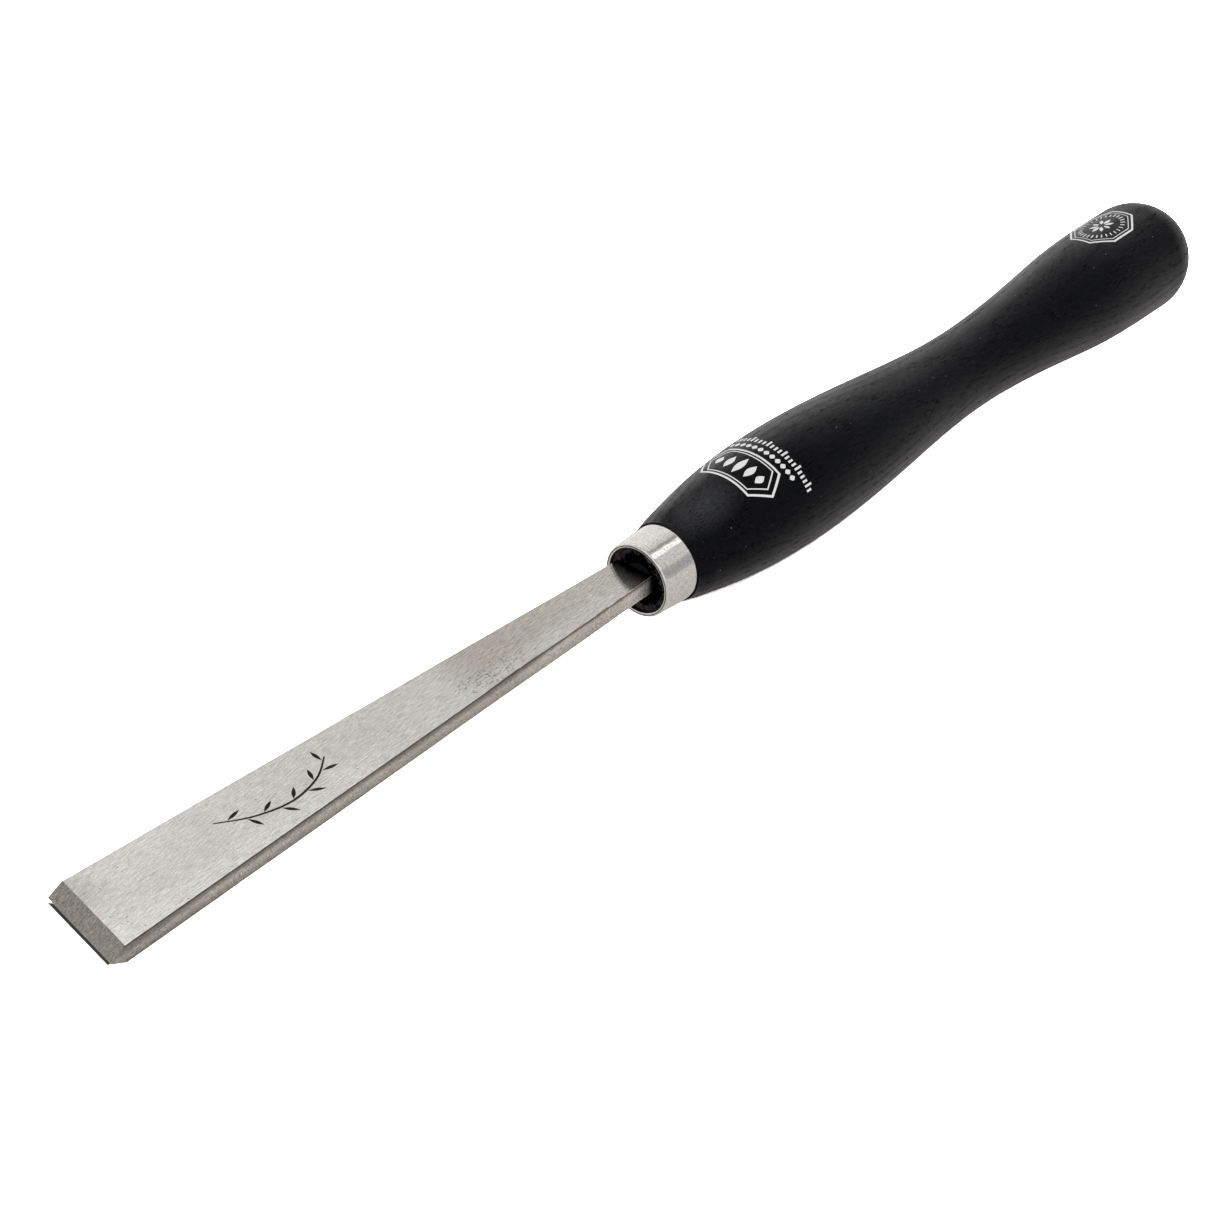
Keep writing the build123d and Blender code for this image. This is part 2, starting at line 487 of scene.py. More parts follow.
def bare_brass():
    """The tube's unplated bore, dull and dark."""
    brass = Recipe("bare_brass")
    stain = brass.noise(brass.stretched(1.2), 3.0, 0.6)
    brass.set(
        Base_Color=brass.blend(stain, (0.11, 0.075, 0.055, 1), (0.03, 0.022, 0.020, 1)),
        Metallic=1.0,
        Roughness=brass.remap(stain, 0.3, 0.7, 0.35, 0.6),
        Normal=brass.bump(stain, 0.02, 0.5),
    )
    return brass.material


def groove_painted_shade():
    """Painted shade in the groove of the rim, mottled."""
    groove_shade = Recipe("groove_painted_shade")
    mottle = groove_shade.noise(groove_shade.stretched(3.0), 2.0, 0.6)
    groove_shade.set(
        Base_Color=groove_shade.blend(mottle, (0.02, 0.018, 0.018, 1), (0.10, 0.09, 0.085, 1)),
        Roughness=0.6,
    )
    return groove_shade.material


# ---------------------------------------------------------------- wood and resin

PITH_Y, PITH_Z = 46, -62  # the tree's centre lay outside the blank, in millimetres
RING_DRIFT = 12  # how far the rings wander along the handle, in millimetres
RINGS_PER_MM = 0.36


def sheen(wood, fibre, pores, x, z):
    """How strongly the lacquer mirrors: dull head on and bright at a glance, with painted light in it:
    painted shade dulls it under the front swell, a painted highlight spot brightens it on top of the
    handle just behind the ferrule, and a painted highlight makes it a little brighter low on the knob
    than on its crown."""
    facing = wood.add("ShaderNodeLayerWeight", {"Blend": 0.5}).outputs["Facing"]
    level = wood.math("POWER", wood.remap(facing, 0.28, 0.76), 1.6)
    level = wood.remap(level, 0.0, 1.0, 0.11, 1.30)
    # Painted shade: the lacquer mirrors less under the front swell.
    under = wood.vary(wood.remap(x, 20, 75, 1.0, 0.0), z, -8, 6, 1.0, 0.0)
    level = wood.where(under, level, 0.15)
    # Painted highlight: low on the knob the lacquer mirrors more than on its crown.
    knob = wood.remap(x, BUTT_X / MM - 34, BUTT_X / MM - 16)
    crown = wood.minus(wood.remap(z, -6, 8, 1.25, 0.70), 1.0)
    level = wood.times(level, wood.plus(1.0, wood.times(knob, crown)))
    along_squeeze = 0.45  # the painted highlight spot is longer than it is wide
    # Painted highlight: a spot on top of the handle just behind the ferrule mirrors fully.
    highlight_centre = (along_squeeze * 24, -3.6, AXIS_Z / MM + 13.6)
    painted_highlight = wood.vector("DISTANCE", wood.stretched((along_squeeze, 1.0, 1.0)), highlight_centre)
    level = wood.math("MAXIMUM", level, wood.remap(painted_highlight, 1, 9, 1.0, 0.0))
    level = wood.vary(level, fibre, 0.3, 0.7, 0.45, 1.55)
    return wood.where(pores, level, 0.45)


def ebonised_ash():
    """Black stained and lacquered ash: growth rings, open pores along the grain, a few dust specks."""
    wood = Recipe("ebonised_ash")
    x, y, z = wood.axes()
    drift = wood.noise(wood.stretched((0.012, 0.05, 0.05)), 2.0, 0.5)
    across, height = wood.minus(y, PITH_Y), wood.minus(z, PITH_Z)
    from_pith = wood.math("SQRT", wood.plus(wood.times(across, across), wood.times(height, height)))
    from_pith = wood.plus(from_pith, wood.times(drift, RING_DRIFT))
    ring = wood.math("FRACT", wood.times(from_pith, RINGS_PER_MM))
    early = wood.remap(wood.math("ABSOLUTE", wood.minus(ring, 0.3)), 0.05, 0.34, 1.0, 0.0, True)

    def opened(field, late_threshold, early_threshold):
        """1 where the field passes a threshold that is lower in the early wood."""
        threshold = wood.remap(early, 0.0, 1.0, late_threshold, early_threshold)
        return wood.remap(wood.minus(field, threshold), 0.0, 0.05)

    pores = opened(wood.noise(wood.stretched((0.30, 2.8, 2.8)), 2.0, 0.5), 0.66, 0.55)
    filled = wood.noise(wood.stretched((0.45, 3.0, 3.0), (0, 0, 0), (9, 2, 6)), 2.0, 0.5)
    filled = opened(filled, 0.76, 0.64)
    fibre = wood.noise(wood.stretched((0.25, 4, 4), (0, 0, 0), (3, 5, 7)), 3.0, 0.6)
    cloud = wood.noise(wood.stretched((0.03, 0.08, 0.08)), 3.0, 0.5)
    distance, number = wood.spots(wood.stretched(0.42, (13, 7, 31)))
    dust = wood.vary(wood.remap(number, 0.87, 0.88), distance, 0.06, 0.12, 1.0, 0.0)

    base = wood.blend(fibre, (0.0020, 0.0023, 0.0034, 1), (0.0050, 0.0053, 0.0070, 1))
    base = wood.blend(wood.times(pores, 0.7), base, (0.0015, 0.0015, 0.002, 1))
    base = wood.blend(wood.times(filled, 0.35), base, (0.060, 0.062, 0.068, 1))
    base = wood.blend(wood.times(dust, 0.5), base, (0.30, 0.31, 0.33, 1))
    rough = wood.plus(wood.remap(cloud, 0.3, 0.7, 0.36, 0.46), wood.times(early, 0.05))
    rough = wood.math("ADD", rough, wood.times(pores, 0.2), clamp=True)
    relief = wood.bump(fibre, 0.010, 0.5, wood.bump(early, -0.03, 0.6))
    wood.set(
        Base_Color=base,
        Roughness=rough,
        Normal=wood.bump(pores, -0.06, 0.8, relief),
        IOR=1.34,
        Specular_Tint=(0.93, 0.95, 1.0, 1),
        Specular_IOR_Level=sheen(wood, fibre, pores, x, z),
    )
    return wood.material


def tenon_end():
    """Blackened end grain, left rough by the saw, with a few crumbs of glue on it, and black painted
    shade without shine round the bore.
    """
    end = Recipe("tenon_end")
    y, z = end.axes()[1:]
    scratches = end.noise(end.stretched((1.0, 2.6, 0.35), (35, 0, 0)), 3.0, 0.6)
    cells = end.noise(end.stretched(0.9), 4.0, 0.75)
    distance, number = end.spots(end.stretched(0.9, (3, 9, 27)))
    crumb = end.vary(end.remap(number, 0.80, 0.82), distance, 0.10, 0.22, 1.0, 0.0)
    tone = end.plus(end.times(scratches, 0.5), end.times(cells, 0.5))
    base = end.blend(
        end.remap(tone, 0.42, 0.60), (0.003, 0.0027, 0.004, 1), (0.062, 0.052, 0.062, 1)
    )
    # Painted shade: black and without shine out to a ragged ring round the bore.
    rise = end.minus(z, AXIS_Z / MM)
    out = end.math("SQRT", end.plus(end.times(y, y), end.times(rise, rise)))
    ragged = end.noise(end.stretched(0.45, (0, 0, 0), (2, 6, 4)), 4.0, 0.7)
    out = end.plus(out, end.remap(ragged, 0.3, 0.7, -2.6, 2.6))
    painted_hollow_shade = end.remap(out, 7.6, 9.0, 1.0, 0.0, True)
    base = end.blend(painted_hollow_shade, base, (0.0012, 0.0012, 0.0016, 1))
    end.set(
        Base_Color=end.blend(end.times(crumb, 0.6), base, (0.16, 0.15, 0.16, 1)),
        Roughness=0.75,
        Normal=end.bump(tone, 0.12, 0.7),
        Specular_IOR_Level=end.remap(painted_hollow_shade, 0.0, 1.0, 0.2, 0.0),
    )
    return end.material


def black_resin():
    """The resin's end, sunk in the bore and nearly without light."""
    resin = Recipe("black_resin")
    lumps = resin.noise(resin.stretched(0.9), 3.0, 0.5)
    resin.set(
        Base_Color=resin.blend(lumps, (0.0015, 0.0015, 0.002, 1), (0.006, 0.006, 0.006, 1)),
        Roughness=resin.remap(lumps, 0.3, 0.7, 0.6, 0.8),
        Normal=resin.bump(lumps, 0.2, 0.6),
        Specular_IOR_Level=0.12,
    )
    return resin.material


# ---------------------------------------------------------------- inks

def print_ink():
    """White ink, rubbed grey in places."""
    ink = Recipe("print_ink")
    grain = ink.noise(ink.stretched((1.2, 5.0, 5.0)), 3.0, 0.7)
    worn = ink.remap(grain, 0.60, 0.76)
    ink.set(
        Base_Color=ink.blend(worn, (1.0, 1.0, 1.0, 1), (0.60, 0.61, 0.62, 1)),
        Roughness=ink.remap(grain, 0.3, 0.7, 0.42, 0.6),
        Normal=ink.bump(grain, 0.01, 0.4),
    )
    return ink.material


def etch_mark():
    """Dark oxide of an etched mark."""
    etch = Recipe("etched_mark")
    grain = etch.noise(etch.stretched(3.5), 3.0, 0.6)
    etch.set(
        Base_Color=etch.blend(grain, (0.006, 0.004, 0.0035, 1), (0.030, 0.018, 0.014, 1)),
        Roughness=etch.remap(grain, 0.3, 0.7, 0.5, 0.75),
        Normal=etch.bump(grain, 0.01, 0.5),
        Specular_IOR_Level=0.12,
    )
    return etch.material


# ---------------------------------------------------------------- blade

BEVEL_RUN = 4.6 * MM
EDGE_LAND = 0.05 * MM  # the flat that honing leaves on the cutting edge
SIDE_SWELL = 0.11 * MM  # the rounded sides stand this far outside the flat faces
SIDE_FALL_HEIGHT = 1.6 * MM  # how far below a face its rounding reaches down the side
CORNER_LEAST, CORNER_DRIFT, CORNER_AT_ROOT = 0.04 * MM, 0.05 * MM, 0.10 * MM  # the broken corners
FACE_MARGIN = 0.3 * MM  # a strip of face that follows each corner
FACE, SIDE, BEVEL, ARRIS = 0, 1, 2, 3
FACE_LEVEL, ARRIS_LEVEL = 0.985, 0.55  # the least share of Z in the normals of these surfaces

blade_points = node_points("blade")
toe = min(blade_points, key=lambda p: p.x)
mid_height = [p for p in blade_points if abs(p.z - THICKNESS / 2) < 0.2 * MM]
heel = max(mid_height, key=lambda p: p.y)
shoulder_y = [p.y for p in blade_points if abs(p.x - MOUTH_X) < 0.01 * MM]
SHOULDERS = {-1: min(shoulder_y), 1: max(shoulder_y)}
TIPS = {-1: toe, 1: heel}
tang_end = max(blade_points, key=lambda p: p.x).x
tang_end_points = [p for p in blade_points if tang_end - p.x < 0.01 * MM]
TANG_HALF_HEIGHT = (max(p.z for p in tang_end_points) - min(p.z for p in tang_end_points)) / 2
TANG_HALF_END = max(p.y for p in tang_end_points)
TANG_HALF_ROOT = 3.5 * MM


def side_y(x, side):
    """Y of the blade's long edge."""
    share = (MOUTH_X - x) / (MOUTH_X - TIPS[side].x)
    return SHOULDERS[side] + (TIPS[side].y - SHOULDERS[side]) * share


def wander(x, seed, wavelength):
    """Slow drift between about -1 and 1 along the blade, as hand grinding leaves."""
    gain = 1.6
    return gain * noise.noise(Vector((x / wavelength, seed, 0.37 * seed)))


def eased(share):
    """0 before a stretch, 1 after it, smooth between."""
    share = min(max(share, 0.0), 1.0)
    return share * share * (3 - 2 * share)


def side_fall(x, side, upper):
    """How far the rounded side has come in where it meets a flat face. It wanders as hand grinding
    does. On the -Y side the upper corner has lost more metal near the stained part, and the lower
    corner stands out, more so towards the root."""
    worn_depth, worn_length = 0.42 * MM, 13 * MM
    stand_at_tip, stand_growth, growth_start, growth_length = 0.15 * MM, 0.28 * MM, -75 * MM, 60 * MM
    drift, drift_length = 0.05 * MM, 45 * MM
    worn = 0.0
    if side < 0 and upper > 0:
        worn = worn_depth * math.exp(-(((x + STAIN_REACH) / worn_length) ** 2))
    if side < 0 and upper < 0:
        worn = -stand_at_tip - stand_growth * eased((x - growth_start) / growth_length)
    return SIDE_SWELL + worn + drift * wander(x, 3.1 * side + 1.7 * upper, drift_length)


def blade_section(x):
    """Points round the blade at x, from the upper +Y corner down that side, back under the blade and
    up the other. Flat faces, rounded sides, and a narrow broken corner between them."""
    half_steps, closer_to_face = 9, 1.4
    fall_power = 2.3
    sides = {}
    for side in (1, -1):
        outer = side_y(x, side)
        halves = []
        for upper in (1, -1):
            fall = side_fall(x, side, upper)
            corner = CORNER_LEAST + CORNER_AT_ROOT * eased((x + 45 * MM) / (30 * MM))
            corner += CORNER_DRIFT * abs(wander(x, 4.4 * side + 2.3 * upper, 12 * MM))
            face_z = THICKNESS if upper > 0 else 0.0
            half = [
                (outer - side * (fall + corner + FACE_MARGIN), face_z),
                (outer - side * (fall + corner), face_z),
            ]
            for k in range(half_steps):
                depth = corner + (THICKNESS / 2 - corner) * (k / half_steps) ** closer_to_face
                share = max(1 - depth / SIDE_FALL_HEIGHT, 0.0)
                half.append((outer - side * fall * share ** fall_power, face_z - upper * depth))
            halves.append(half)
        sides[side] = halves[0] + [(outer, THICKNESS / 2)] + halves[1][::-1]
    return sides[1] + sides[-1][::-1]


def tang_section(x, section):
    """The points of the blade's section, pressed into the tang's rectangle at x."""
    share = (x - MOUTH_X) / (tang_end - MOUTH_X)
    half = TANG_HALF_ROOT + (TANG_HALF_END - TANG_HALF_ROOT) * share
    middle = THICKNESS / 2
    outward = 50  # pushes every point across, as far as one of the tang's two sides
    points = []
    for y, z in section:
        rise = max(-TANG_HALF_HEIGHT, min(TANG_HALF_HEIGHT, z - middle))
        points.append((max(-half, min(half, y * outward)), middle + rise))
    return points


def cut_end(bm, point, outward, material):
    """Cuts the blade by a plane and closes the cut."""
    cut = bmesh.ops.bisect_plane(
        bm,
        geom=bm.verts[:] + bm.edges[:] + bm.faces[:],
        dist=1e-8,
        plane_co=point,
        plane_no=outward,
        clear_outer=True,
    )
    rim = [e for e in cut["geom_cut"] if isinstance(e, bmesh.types.BMEdge) and e.is_valid]
    rim = [e for e in rim if e.is_boundary]
    for face in bmesh.ops.edgeloop_fill(bm, edges=rim)["faces"]:
        face.material_index = material


def build_blade():
    bm = bmesh.new()
    station_count = 230
    start = toe.x - 2 * MM  # the bevels cut this stretch off again
    loops = []
    for k in range(station_count + 1):
        x = start + (MOUTH_X - start) * k / station_count
        loops.append([bm.verts.new((x, y, z)) for y, z in blade_section(x)])
    skin(bm, loops)
    shoulder = blade_section(MOUTH_X)
    tang = []
    for x in (MOUTH_X, tang_end):
        tang.append([bm.verts.new((x, y, z)) for y, z in tang_section(x, shoulder)])
    skin(bm, [loops[-1]] + tang)
    bm.faces.new(tang[-1])
    bm.faces.new(loops[0])
    bmesh.ops.remove_doubles(bm, verts=bm.verts, dist=1e-6)
    bm.normal_update()
    for face in bm.faces:
        level = abs(face.normal.z)
        face.material_index = FACE if level > FACE_LEVEL else ARRIS if level > ARRIS_LEVEL else SIDE
    along_edge = (heel - toe).normalized()
    for upward in (1, -1):
        rise = Vector((BEVEL_RUN, 0, upward * THICKNESS / 2))
        outward = along_edge.cross(rise)
        if outward.x > 0:
            outward.negate()
        cut_end(bm, toe, outward, BEVEL)
    square = Vector((-along_edge.y, along_edge.x, 0))
    if square.x > 0:
        square.negate()
    cut_end(bm, toe - square * EDGE_LAND, square, BEVEL)
    materials = [ground_face(), ground_side(), ground_bevel(), worn_arris()]
    return finish_mesh("blade_ground", bm, materials, 24, "blade")


# ---------------------------------------------------------------- ferrule and handle

def ring_radii(name, x):
    """Smallest and largest radius of a turned node close to x."""
    near = [radius_of(p) for p in node_points(name) if abs(p.x - x) < 0.45 * MM]
    return min(near), max(near)


FERRULE_BORE = [ring_radii("ferrule", x)[0] for x in (0.0, FERRULE_REAR_X)]
FERRULE_FRONT = ring_radii("ferrule", 0.0)[1]
FERRULE_REAR = ring_radii("ferrule", FERRULE_REAR_X)[1]
BORE, GROOVE = 1, 2  # the ferrule's materials after its plating
TENON_END = 1  # the handle's material after its lacquered wood
DRILL_POINT = 59  # half the angle of the drill's point, in degrees


def bore_at(x):
    return FERRULE_BORE[0] + (FERRULE_BORE[1] - FERRULE_BORE[0]) * x / FERRULE_REAR_X


def build_ferrule():
    """A slightly flared tube with rounded rims, and a fine groove turned in its front rim."""
    lip, back_lip, inner_lip = 0.34 * MM, 0.14 * MM, 0.26 * MM
    steps = 24
    outside = []
    for k in range(1, steps):
        x = lip + (FERRULE_REAR_X - lip - back_lip) * k / steps
        outside.append((x, FERRULE_FRONT + (FERRULE_REAR - FERRULE_FRONT) * x / FERRULE_REAR_X))
    inside = []
    for x in (FERRULE_REAR_X, MOUTH_X + 1.5 * MM, MOUTH_X, 0.6 * MM):
        inside.append((x, bore_at(x)))
    groove = FERRULE_FRONT - 0.62 * MM
    groove_depth, mouth_half, floor_half = 0.16 * MM, 0.13 * MM, 0.10 * MM
    profile = (
        inside
        + arc((inner_lip, bore_at(0) + inner_lip), inner_lip, 270, 180, 5)
        + [(0.02 * MM, groove - mouth_half), (groove_depth, groove - floor_half)]
        + [(groove_depth, groove + floor_half), (0.03 * MM, groove + mouth_half)]
        + arc((lip, FERRULE_FRONT - lip), lip, 180, 95, 8)
        + outside
        + arc((FERRULE_REAR_X - back_lip, FERRULE_REAR - back_lip), back_lip, 85, 0, 6)
    )
    bm = bmesh.new()
    rings = lathe(bm, profile, 192)
    skin(bm, [rings[-1], rings[0]])
    for face in bm.faces:
        centre = face.calc_center_median()
        if radius_of(centre) < bore_at(centre.x) + 0.06 * MM and centre.x > 0.2 * MM:
            face.material_index = BORE
        if abs(radius_of(centre) - groove) < 0.14 * MM and centre.x > 0.05 * MM:
            face.material_index = GROOVE
    materials = [nickel_plate(), bare_brass(), groove_painted_shade()]
    return finish_mesh("ferrule_turned", bm, materials, 30, "ferrule")


def shoulder_ease(x):
    """The turned shoulder drops a little to meet the ferrule."""
    return 0.42 * MM * (1 - eased((x - FERRULE_REAR_X) / (6 * MM)))


def build_handle():
    shoulder_round = 0.25 * MM
    bore = (resin_high.z - resin_low.z) / 2
    bore_end = resin_high.x - bore / math.tan(math.radians(DRILL_POINT))
    profile = [(resin_high.x, 0.0), (bore_end, bore), (MOUTH_X, bore)]
    profile += [(MOUTH_X, bore + (bore_at(MOUTH_X) - bore) * k / 6) for k in range(1, 6)]
    profile += [(MOUTH_X, bore_at(MOUTH_X)), (FERRULE_REAR_X, bore_at(FERRULE_REAR_X))]
    start = FERRULE_REAR_X + shoulder_round
    round_top = handle_radius(start) - shoulder_ease(start)
    profile += arc((start, round_top - shoulder_round), shoulder_round, 180, 96, 6)
    steps = 240
    for k in range(steps):
        x = start + (KNOB_X - start) * k / steps
        profile.append((x, handle_radius(x) - shoulder_ease(x)))
    profile += arc((KNOB_X, 0), KNOB_RADIUS, 90, 0, 40)
    profile[-1] = (BUTT_X, 0.0)
    bm = bmesh.new()
    lathe(bm, profile, 224)
    for face in bm.faces:
        if all(abs(vertex.co.x - MOUTH_X) < 0.01 * MM for vertex in face.verts):
            face.material_index = TENON_END
    materials = [ebonised_ash(), tenon_end()]
    return finish_mesh("handle_turned", bm, materials, 40, "handle")


# ---------------------------------------------------------------- printed and etched marks

INK_LOW, INK_HIGH = -0.03 * MM, 0.02 * MM


def ribbon(bm, place, spine, half_widths, low=INK_LOW, high=INK_HIGH, closed=False, across=3):
    """A thin closed slab along a flat line, laid on a surface by place(u, v, height)."""
    count = len(spine)
    rows = []
    for i, point in enumerate(spine):
        if closed:
            before, after = spine[i - 1], spine[(i + 1) % count]
        else:
            before, after = spine[max(i - 1, 0)], spine[min(i + 1, count - 1)]
        arriving, leaving = point - before, after - point
        arriving = (arriving if arriving.length > 0 else leaving).normalized()
        leaving = (leaving if leaving.length > 0 else arriving).normalized()
        along = (arriving + leaving).normalized()
        mitre = 1 / max(along.dot(arriving), 0.3)
        normal = Vector((-along.y, along.x))
        half = half_widths[i] * mitre
        crossing = [point + normal * half * (2 * k / across - 1) for k in range(across + 1)]
        upper = [bm.verts.new(place(p.x, p.y, high)) for p in crossing]
        lower = [bm.verts.new(place(p.x, p.y, low)) for p in reversed(crossing)]
        rows.append(upper + lower)
    skin(bm, rows, closed)
    if not closed:
        bm.faces.new(rows[0])
        bm.faces.new(rows[-1])


def smooth_line(points, steps):
    """Catmull-Rom curve through flat points."""
    line = []
    for i in range(len(points) - 1):
        a, b, c, d = (points[min(max(k, 0), len(points) - 1)] for k in range(i - 1, i + 3))
        for k in range(steps):
            t = k / steps
            bend, twist = 2 * a - 5 * b + 4 * c - d, 3 * b - a - 3 * c + d
            line.append(0.5 * (2 * b + (c - a) * t + bend * t ** 2 + twist * t ** 3))
    line.append(points[-1])
    return line


def subdivided(corners, steps):
    """Straight sides between corners, cut into steps, for a closed outline."""
    line = []
    for i, corner in enumerate(corners):
        following = corners[(i + 1) % len(corners)]
        line.extend(corner.lerp(following, k / steps) for k in range(steps))
    return line


def leaf(bm, place, start, end, width, low=INK_LOW, high=INK_HIGH):
    """A filled shape, widest at its middle and nearly pointed at both ends."""
    steps = 8
    spine = [start.lerp(end, k / steps) for k in range(steps + 1)]
    widths = [max(width * math.sin(math.pi * k / steps), 0.05 * MM) for k in range(steps + 1)]
    ribbon(bm, place, spine, widths, low, high)


def on_handle(centre_x, centre_degrees):
    """Lays flat places, measured round and along the handle from a centre, on the wood."""
    flat_radius = handle_radius(centre_x)

    def place(around, along, height):
        x = centre_x + along
        turn = math.radians(centre_degrees) + around / flat_radius
        radius = handle_radius(x) + height
        return (x, radius * math.cos(turn), AXIS_Z + radius * math.sin(turn))

    return place


def flat(points):
    """Flat points given in millimetres."""
    return [Vector((u * MM, v * MM)) for u, v in points]


def double_outline(bm, place, corners, steps, lines):
    """Closed outlines through the corners, one in the other. Lines holds the scale of each and half
    its line's width in millimetres."""
    for scale, half_width in lines:
        line = subdivided([corner * scale for corner in flat(corners)], steps)
        ribbon(bm, place, line, [half_width * MM] * len(line), closed=True)


def build_front_print():
    """A generic frame with a row of lozenges in it, and two rows of small marks beside it."""
    bm = bmesh.new()
    centre_x, centre_degrees = 43.8 * MM, 93.0
    place = on_handle(centre_x, centre_degrees)
    half_long, half_high, half_flat = 13.4, 6.7, 9.2
    corners = [
        (-half_long, 0), (-half_flat, -half_high), (half_flat, -half_high),
        (half_long, 0), (half_flat, half_high), (-half_flat, half_high),
    ]
    double_outline(bm, place, corners, 40, ((1.0, 0.36), (0.82, 0.20)))
    lozenge_step, bead_step, tick_step = 3.7, 2.05, 1.35
    lozenge_half, bead_half, tick_half = 1.15 * MM, 0.80 * MM, 0.32 * MM
    for index, tall in enumerate((2.0, 3.0, 3.9, 3.0, 2.0)):
        u = (index - 2) * lozenge_step
        start, end = flat([(u, -tall), (u, tall)])
        leaf(bm, place, start, end, lozenge_half)
    for index in range(12):
        u = -10.5 + bead_step * index
        start, end = flat([(u, 8.6), (u, 10.7)])
        leaf(bm, place, start, end, bead_half)
    for index in range(22):
        u = -11.0 + tick_step * index
        low_v, high_v = (12.2, 14.0) if index % 4 else (12.2, 14.9)
        line = flat([(u, low_v), (u, (low_v + high_v) / 2), (u, high_v)])
        ribbon(bm, place, line, [tick_half] * 3)
    return finish_mesh("front_print", bm, [print_ink()], 40)


def build_rear_print():
    """A generic eight-sided frame round a rosette."""
    bm = bmesh.new()
    centre_x, centre_degrees = 239.2 * MM, 82.0
    place = on_handle(centre_x, centre_degrees)
    a, b = 8.6, 12.8  # half its size round the handle and along it
    flat_share = 0.42  # the share of each of its four long sides that is left between cut corners
    corners = [
        (-a, -b * flat_share), (-a * flat_share, -b), (a * flat_share, -b), (a, -b * flat_share),
        (a, b * flat_share), (a * flat_share, b), (-a * flat_share, b), (-a, b * flat_share),
    ]
    double_outline(bm, place, corners, 24, ((1.0, 0.34), (0.87, 0.14)))
    petals, petal_half = 8, 0.62 * MM
    for index in range(petals):
        turn = math.tau * index / petals
        inner, outer = (
            (reach * 0.72 * math.cos(turn), reach * 1.2 * math.sin(turn)) for reach in (1.2, 4.6)
        )
        start, end = flat([inner, outer])
        leaf(bm, place, start, end, petal_half)
    rays, ray_half = 28, 0.20 * MM
    for index in range(rays):
        turn = math.tau * (index + 0.5) / rays
        inner, outer = (
            (reach * 0.64 * math.cos(turn), reach * math.sin(turn)) for reach in (8.2, 10.2)
        )
        line = flat([inner, outer])
        ribbon(bm, place, line, [ray_half] * 2)
    return finish_mesh("rear_print", bm, [print_ink()], 40)


def build_blade_mark():
    """A generic leafy sprig etched on the upper face."""
    bm = bmesh.new()

    def place(x, y, height):
        return (x, y, THICKNESS + height)

    low, high = -0.02 * MM, 0.006 * MM
    bends = flat([(-149.5, 6.2), (-141, 0.8), (-131, -1.8), (-121, 0.2), (-113.6, 5.2)])
    stem = smooth_line(bends, 12)
    last = len(stem) - 1
    half_widths = [(0.20 + 0.16 * math.sin(math.pi * k / last)) * MM for k in range(last + 1)]
    ribbon(bm, place, stem, half_widths, low, high, across=2)
    leaf_step, leaf_reach, leaf_half, gap = 5, 4.2 * MM, 0.55 * MM, 0.45 * MM
    for index in range(leaf_step, last - 2, leaf_step):
        along = (stem[index + 1] - stem[index - 1]).normalized()
        out = Vector((-along.y, along.x)) * (1 if (index // leaf_step) % 2 else -1)
        root = stem[index] + out * gap
        tip = root + (along * 0.75 + out * 0.8) * leaf_reach
        leaf(bm, place, root, tip, leaf_half, low, high)
    return finish_mesh("blade_mark", bm, [etch_mark()], 40)


build_blade()
build_ferrule()
build_handle()
build_front_print()
build_rear_print()
build_blade_mark()

resin_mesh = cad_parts["tang_adhesive"]
for material_slot in resin_mesh.material_slots:
    material_slot.link = "OBJECT"
    material_slot.material = black_resin()


# ---------------------------------------------------------------- floor, light, camera

def resting_slope():
    """Where the blade's underside begins, and the slope along X of a floor that touches it there and
    the handle's swell."""
    tip_x = toe.x + BEVEL_RUN
    return tip_x, min((AXIS_Z - radius) / (x - tip_x) for x, radius in handle_outline)


FLOOR_HALF = 6.0
FLOOR_GAP = 0.03 * MM
FLOOR_BRIGHTNESS = 7.0  # overexposed to plain white, as a lit sweep is


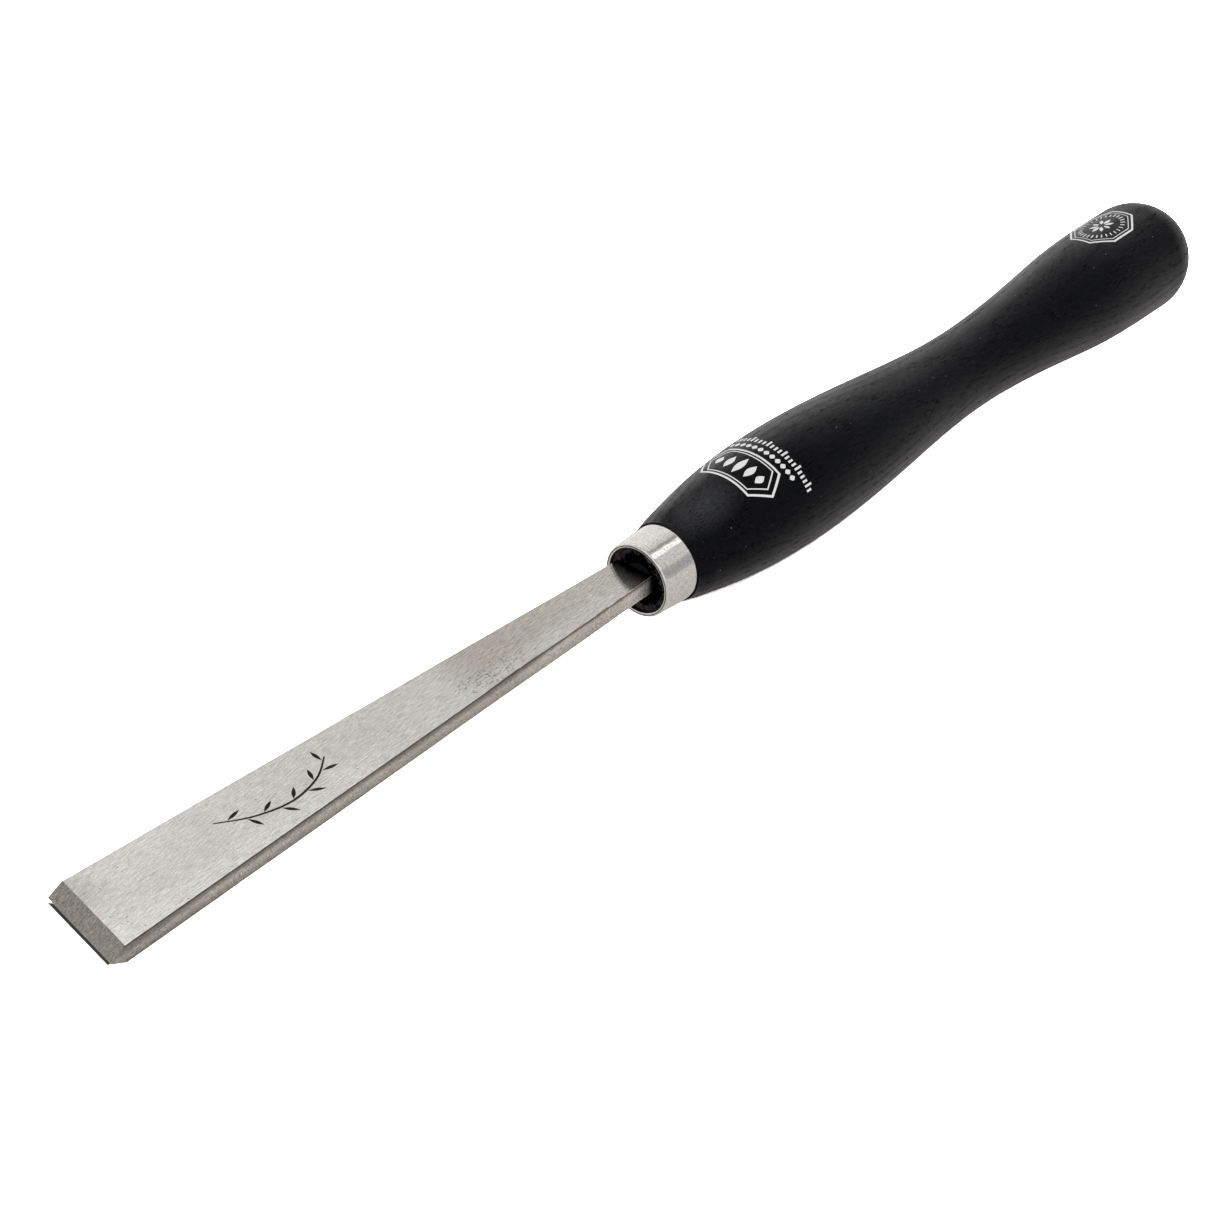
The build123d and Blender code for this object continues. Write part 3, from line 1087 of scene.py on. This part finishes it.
def pale_floor():
    """White paper to the camera, with a painted shadow strip under the cutting edge, and to everything
    that mirrors or is lit by it a grey floor with a glow on its far side."""
    paper = Recipe("pale_floor")
    paper.nodes.remove(paper.surface)
    grain = paper.noise(paper.stretched(0.02), 2.0, 0.5)
    tint = paper.blend(grain, (1.0, 1.0, 1.0, 1), (0.985, 0.985, 0.985, 1))
    along_edge = (heel - toe).normalized()
    inward = (along_edge.y, -along_edge.x, 0)
    edge_length = (heel - toe).length / MM
    off_toe = paper.vector("SUBTRACT", paper.stretched(1.0), toe / MM)
    depth = paper.vector("DOT_PRODUCT", off_toe, inward)
    aside = paper.vector("DOT_PRODUCT", off_toe, along_edge)
    toe_slant, heel_slant = 0.5, 1.2  # the strip narrows with depth at both of its ends
    from_toe = paper.minus(aside, paper.times(depth, toe_slant))
    to_heel = paper.plus(aside, paper.times(depth, heel_slant))
    # Painted shadow: a dark strip on the floor under the cutting edge, narrowing with depth at both
    # ends.
    painted_shadow = paper.times(paper.remap(depth, 0.05, 0.50), paper.remap(depth, 7.0, 4.5))
    painted_shadow = paper.times(painted_shadow, paper.remap(from_toe, 1.9, 2.5))
    painted_shadow = paper.times(painted_shadow, paper.remap(to_heel, edge_length + 2.4, edge_length + 1.8))
    seen = paper.vector("MULTIPLY", tint, (FLOOR_BRIGHTNESS,) * 3)
    shade = paper.blend(painted_shadow, (1, 1, 1, 1), (0.015, 0.013, 0.012, 1))
    shown = paper.add("ShaderNodeBsdfDiffuse", {"Color": paper.vector("MULTIPLY", seen, shade)})
    lit = paper.add("ShaderNodeBsdfDiffuse", {"Color": (0.30, 0.29, 0.28, 1)})
    strength = paper.remap(paper.axes()[1], 60, 170, 0.44, 0.85)
    glow = paper.add("ShaderNodeEmission", {"Color": (1.0, 0.965, 0.93, 1), "Strength": strength})
    mirrored = paper.add("ShaderNodeAddShader", {0: lit.outputs[0], 1: glow.outputs[0]})
    camera_ray = paper.add("ShaderNodeLightPath").outputs["Is Camera Ray"]
    mix = paper.add(
        "ShaderNodeMixShader", {0: camera_ray, 1: mirrored.outputs[0], 2: shown.outputs[0]}
    )
    paper.put(paper.nodes["Material Output"].inputs[0], mix.outputs[0])
    return paper.material


def build_floor():
    tip_x, slope = resting_slope()
    bm = bmesh.new()
    corners = []
    for x, y in ((-1, -1), (1, -1), (1, 1), (-1, 1)):
        z = (x * FLOOR_HALF - tip_x) * slope - FLOOR_GAP
        corners.append(bm.verts.new((x * FLOOR_HALF, y * FLOOR_HALF, z)))
    bm.faces.new(corners)
    mesh = bpy.data.meshes.new("floor")
    bm.to_mesh(mesh)
    bm.free()
    mesh.materials.append(pale_floor())
    add_to_scene("floor", mesh)


# Darker parts of the tent that the steel and the lacquer mirror: direction, the angles where each
# begins to fade and has faded, in degrees, and how much it takes away.
SHADOWS = (
    ((0.553, -0.79, 0.25), 3, 18, 0.38),
    ((0.554, -0.74, 0.38), 16, 44, 0.26),
    ((-0.30, 0.62, 0.74), 12, 34, 0.56),
    ((0.558, 0.005, 0.83), 1.8, 6.0, 0.48),
    ((0.89, -0.30, 0.35), 5, 24, 0.60),
)
SOFTBOX = ((0.554, -0.215, 0.805), 4.5, 7.5)
SOFTBOX_LEVEL = 0.60


def build_light():
    """A pale tent all round, a little darker overhead, with dark flags and slits and one softbox."""
    world = bpy.data.worlds.new("studio")
    bpy.context.scene.world = world
    world.use_nodes = True
    tent = Nodes(world.node_tree)
    direction = tent.add("ShaderNodeTexCoord").outputs["Generated"]

    def lobe(aim, inner_degrees, outer_degrees):
        """1 within the inner angle of a direction, 0 beyond the outer."""
        closeness = tent.vector("DOT_PRODUCT", direction, Vector(aim).normalized())
        low, high = (math.cos(math.radians(angle)) for angle in (outer_degrees, inner_degrees))
        return tent.remap(closeness, low, high, 0.0, 1.0, True)

    parts = tent.add("ShaderNodeSeparateXYZ", {0: direction}).outputs
    level = tent.remap(parts["Z"], 0.66, 0.86, 0.90, 0.64, True)
    level = tent.vary(level, parts["X"], 0.35, 0.60, 1.10, 1.0, True)
    for aim, inner, outer, amount in SHADOWS:
        level = tent.where(lobe(aim, inner, outer), level, 1.0 - amount)
    level = tent.plus(level, tent.times(lobe(*SOFTBOX), SOFTBOX_LEVEL))
    camera_ray = tent.add("ShaderNodeLightPath").outputs["Is Camera Ray"]
    strength = tent.add("ShaderNodeMix", {0: camera_ray, 2: level, 3: 1.0}, data_type="FLOAT")
    background = tent.nodes["Background"]
    tent.put(background.inputs["Color"], tent.blend(camera_ray, (1.0, 0.995, 0.985, 1), (1, 1, 1, 1)))
    tent.put(background.inputs["Strength"], strength.outputs[0])


CAMERA_AZIMUTH = -49.119
CAMERA_ELEVATION = 34.361
CAMERA_DISTANCE = 715.22 * MM
FOCAL_LENGTH = 77.1
AIM_RIGHT = -8.082 * MM  # of the ferrule's front rim centre, across and up the picture
AIM_UP = -7.190 * MM


def build_camera():
    azimuth, elevation = math.radians(CAMERA_AZIMUTH), math.radians(CAMERA_ELEVATION)
    back = Vector((
        math.sin(azimuth) * math.cos(elevation),
        -math.cos(azimuth) * math.cos(elevation),
        math.sin(elevation),
    ))
    right = Vector((math.cos(azimuth), math.sin(azimuth), 0))
    up = back.cross(right)
    aim = Vector((0, 0, AXIS_Z)) + right * AIM_RIGHT + up * AIM_UP
    data = bpy.data.cameras.new("camera")
    data.lens = FOCAL_LENGTH
    data.sensor_width = 36.0
    data.clip_start, data.clip_end = 0.01, 50.0
    camera = add_to_scene("camera", data)
    camera.matrix_world = Matrix((right, up, back)).transposed().to_4x4()
    camera.location = aim + back * CAMERA_DISTANCE
    bpy.context.scene.camera = camera


build_floor()
build_light()
build_camera()
bpy.context.scene.view_settings.view_transform = "Standard"
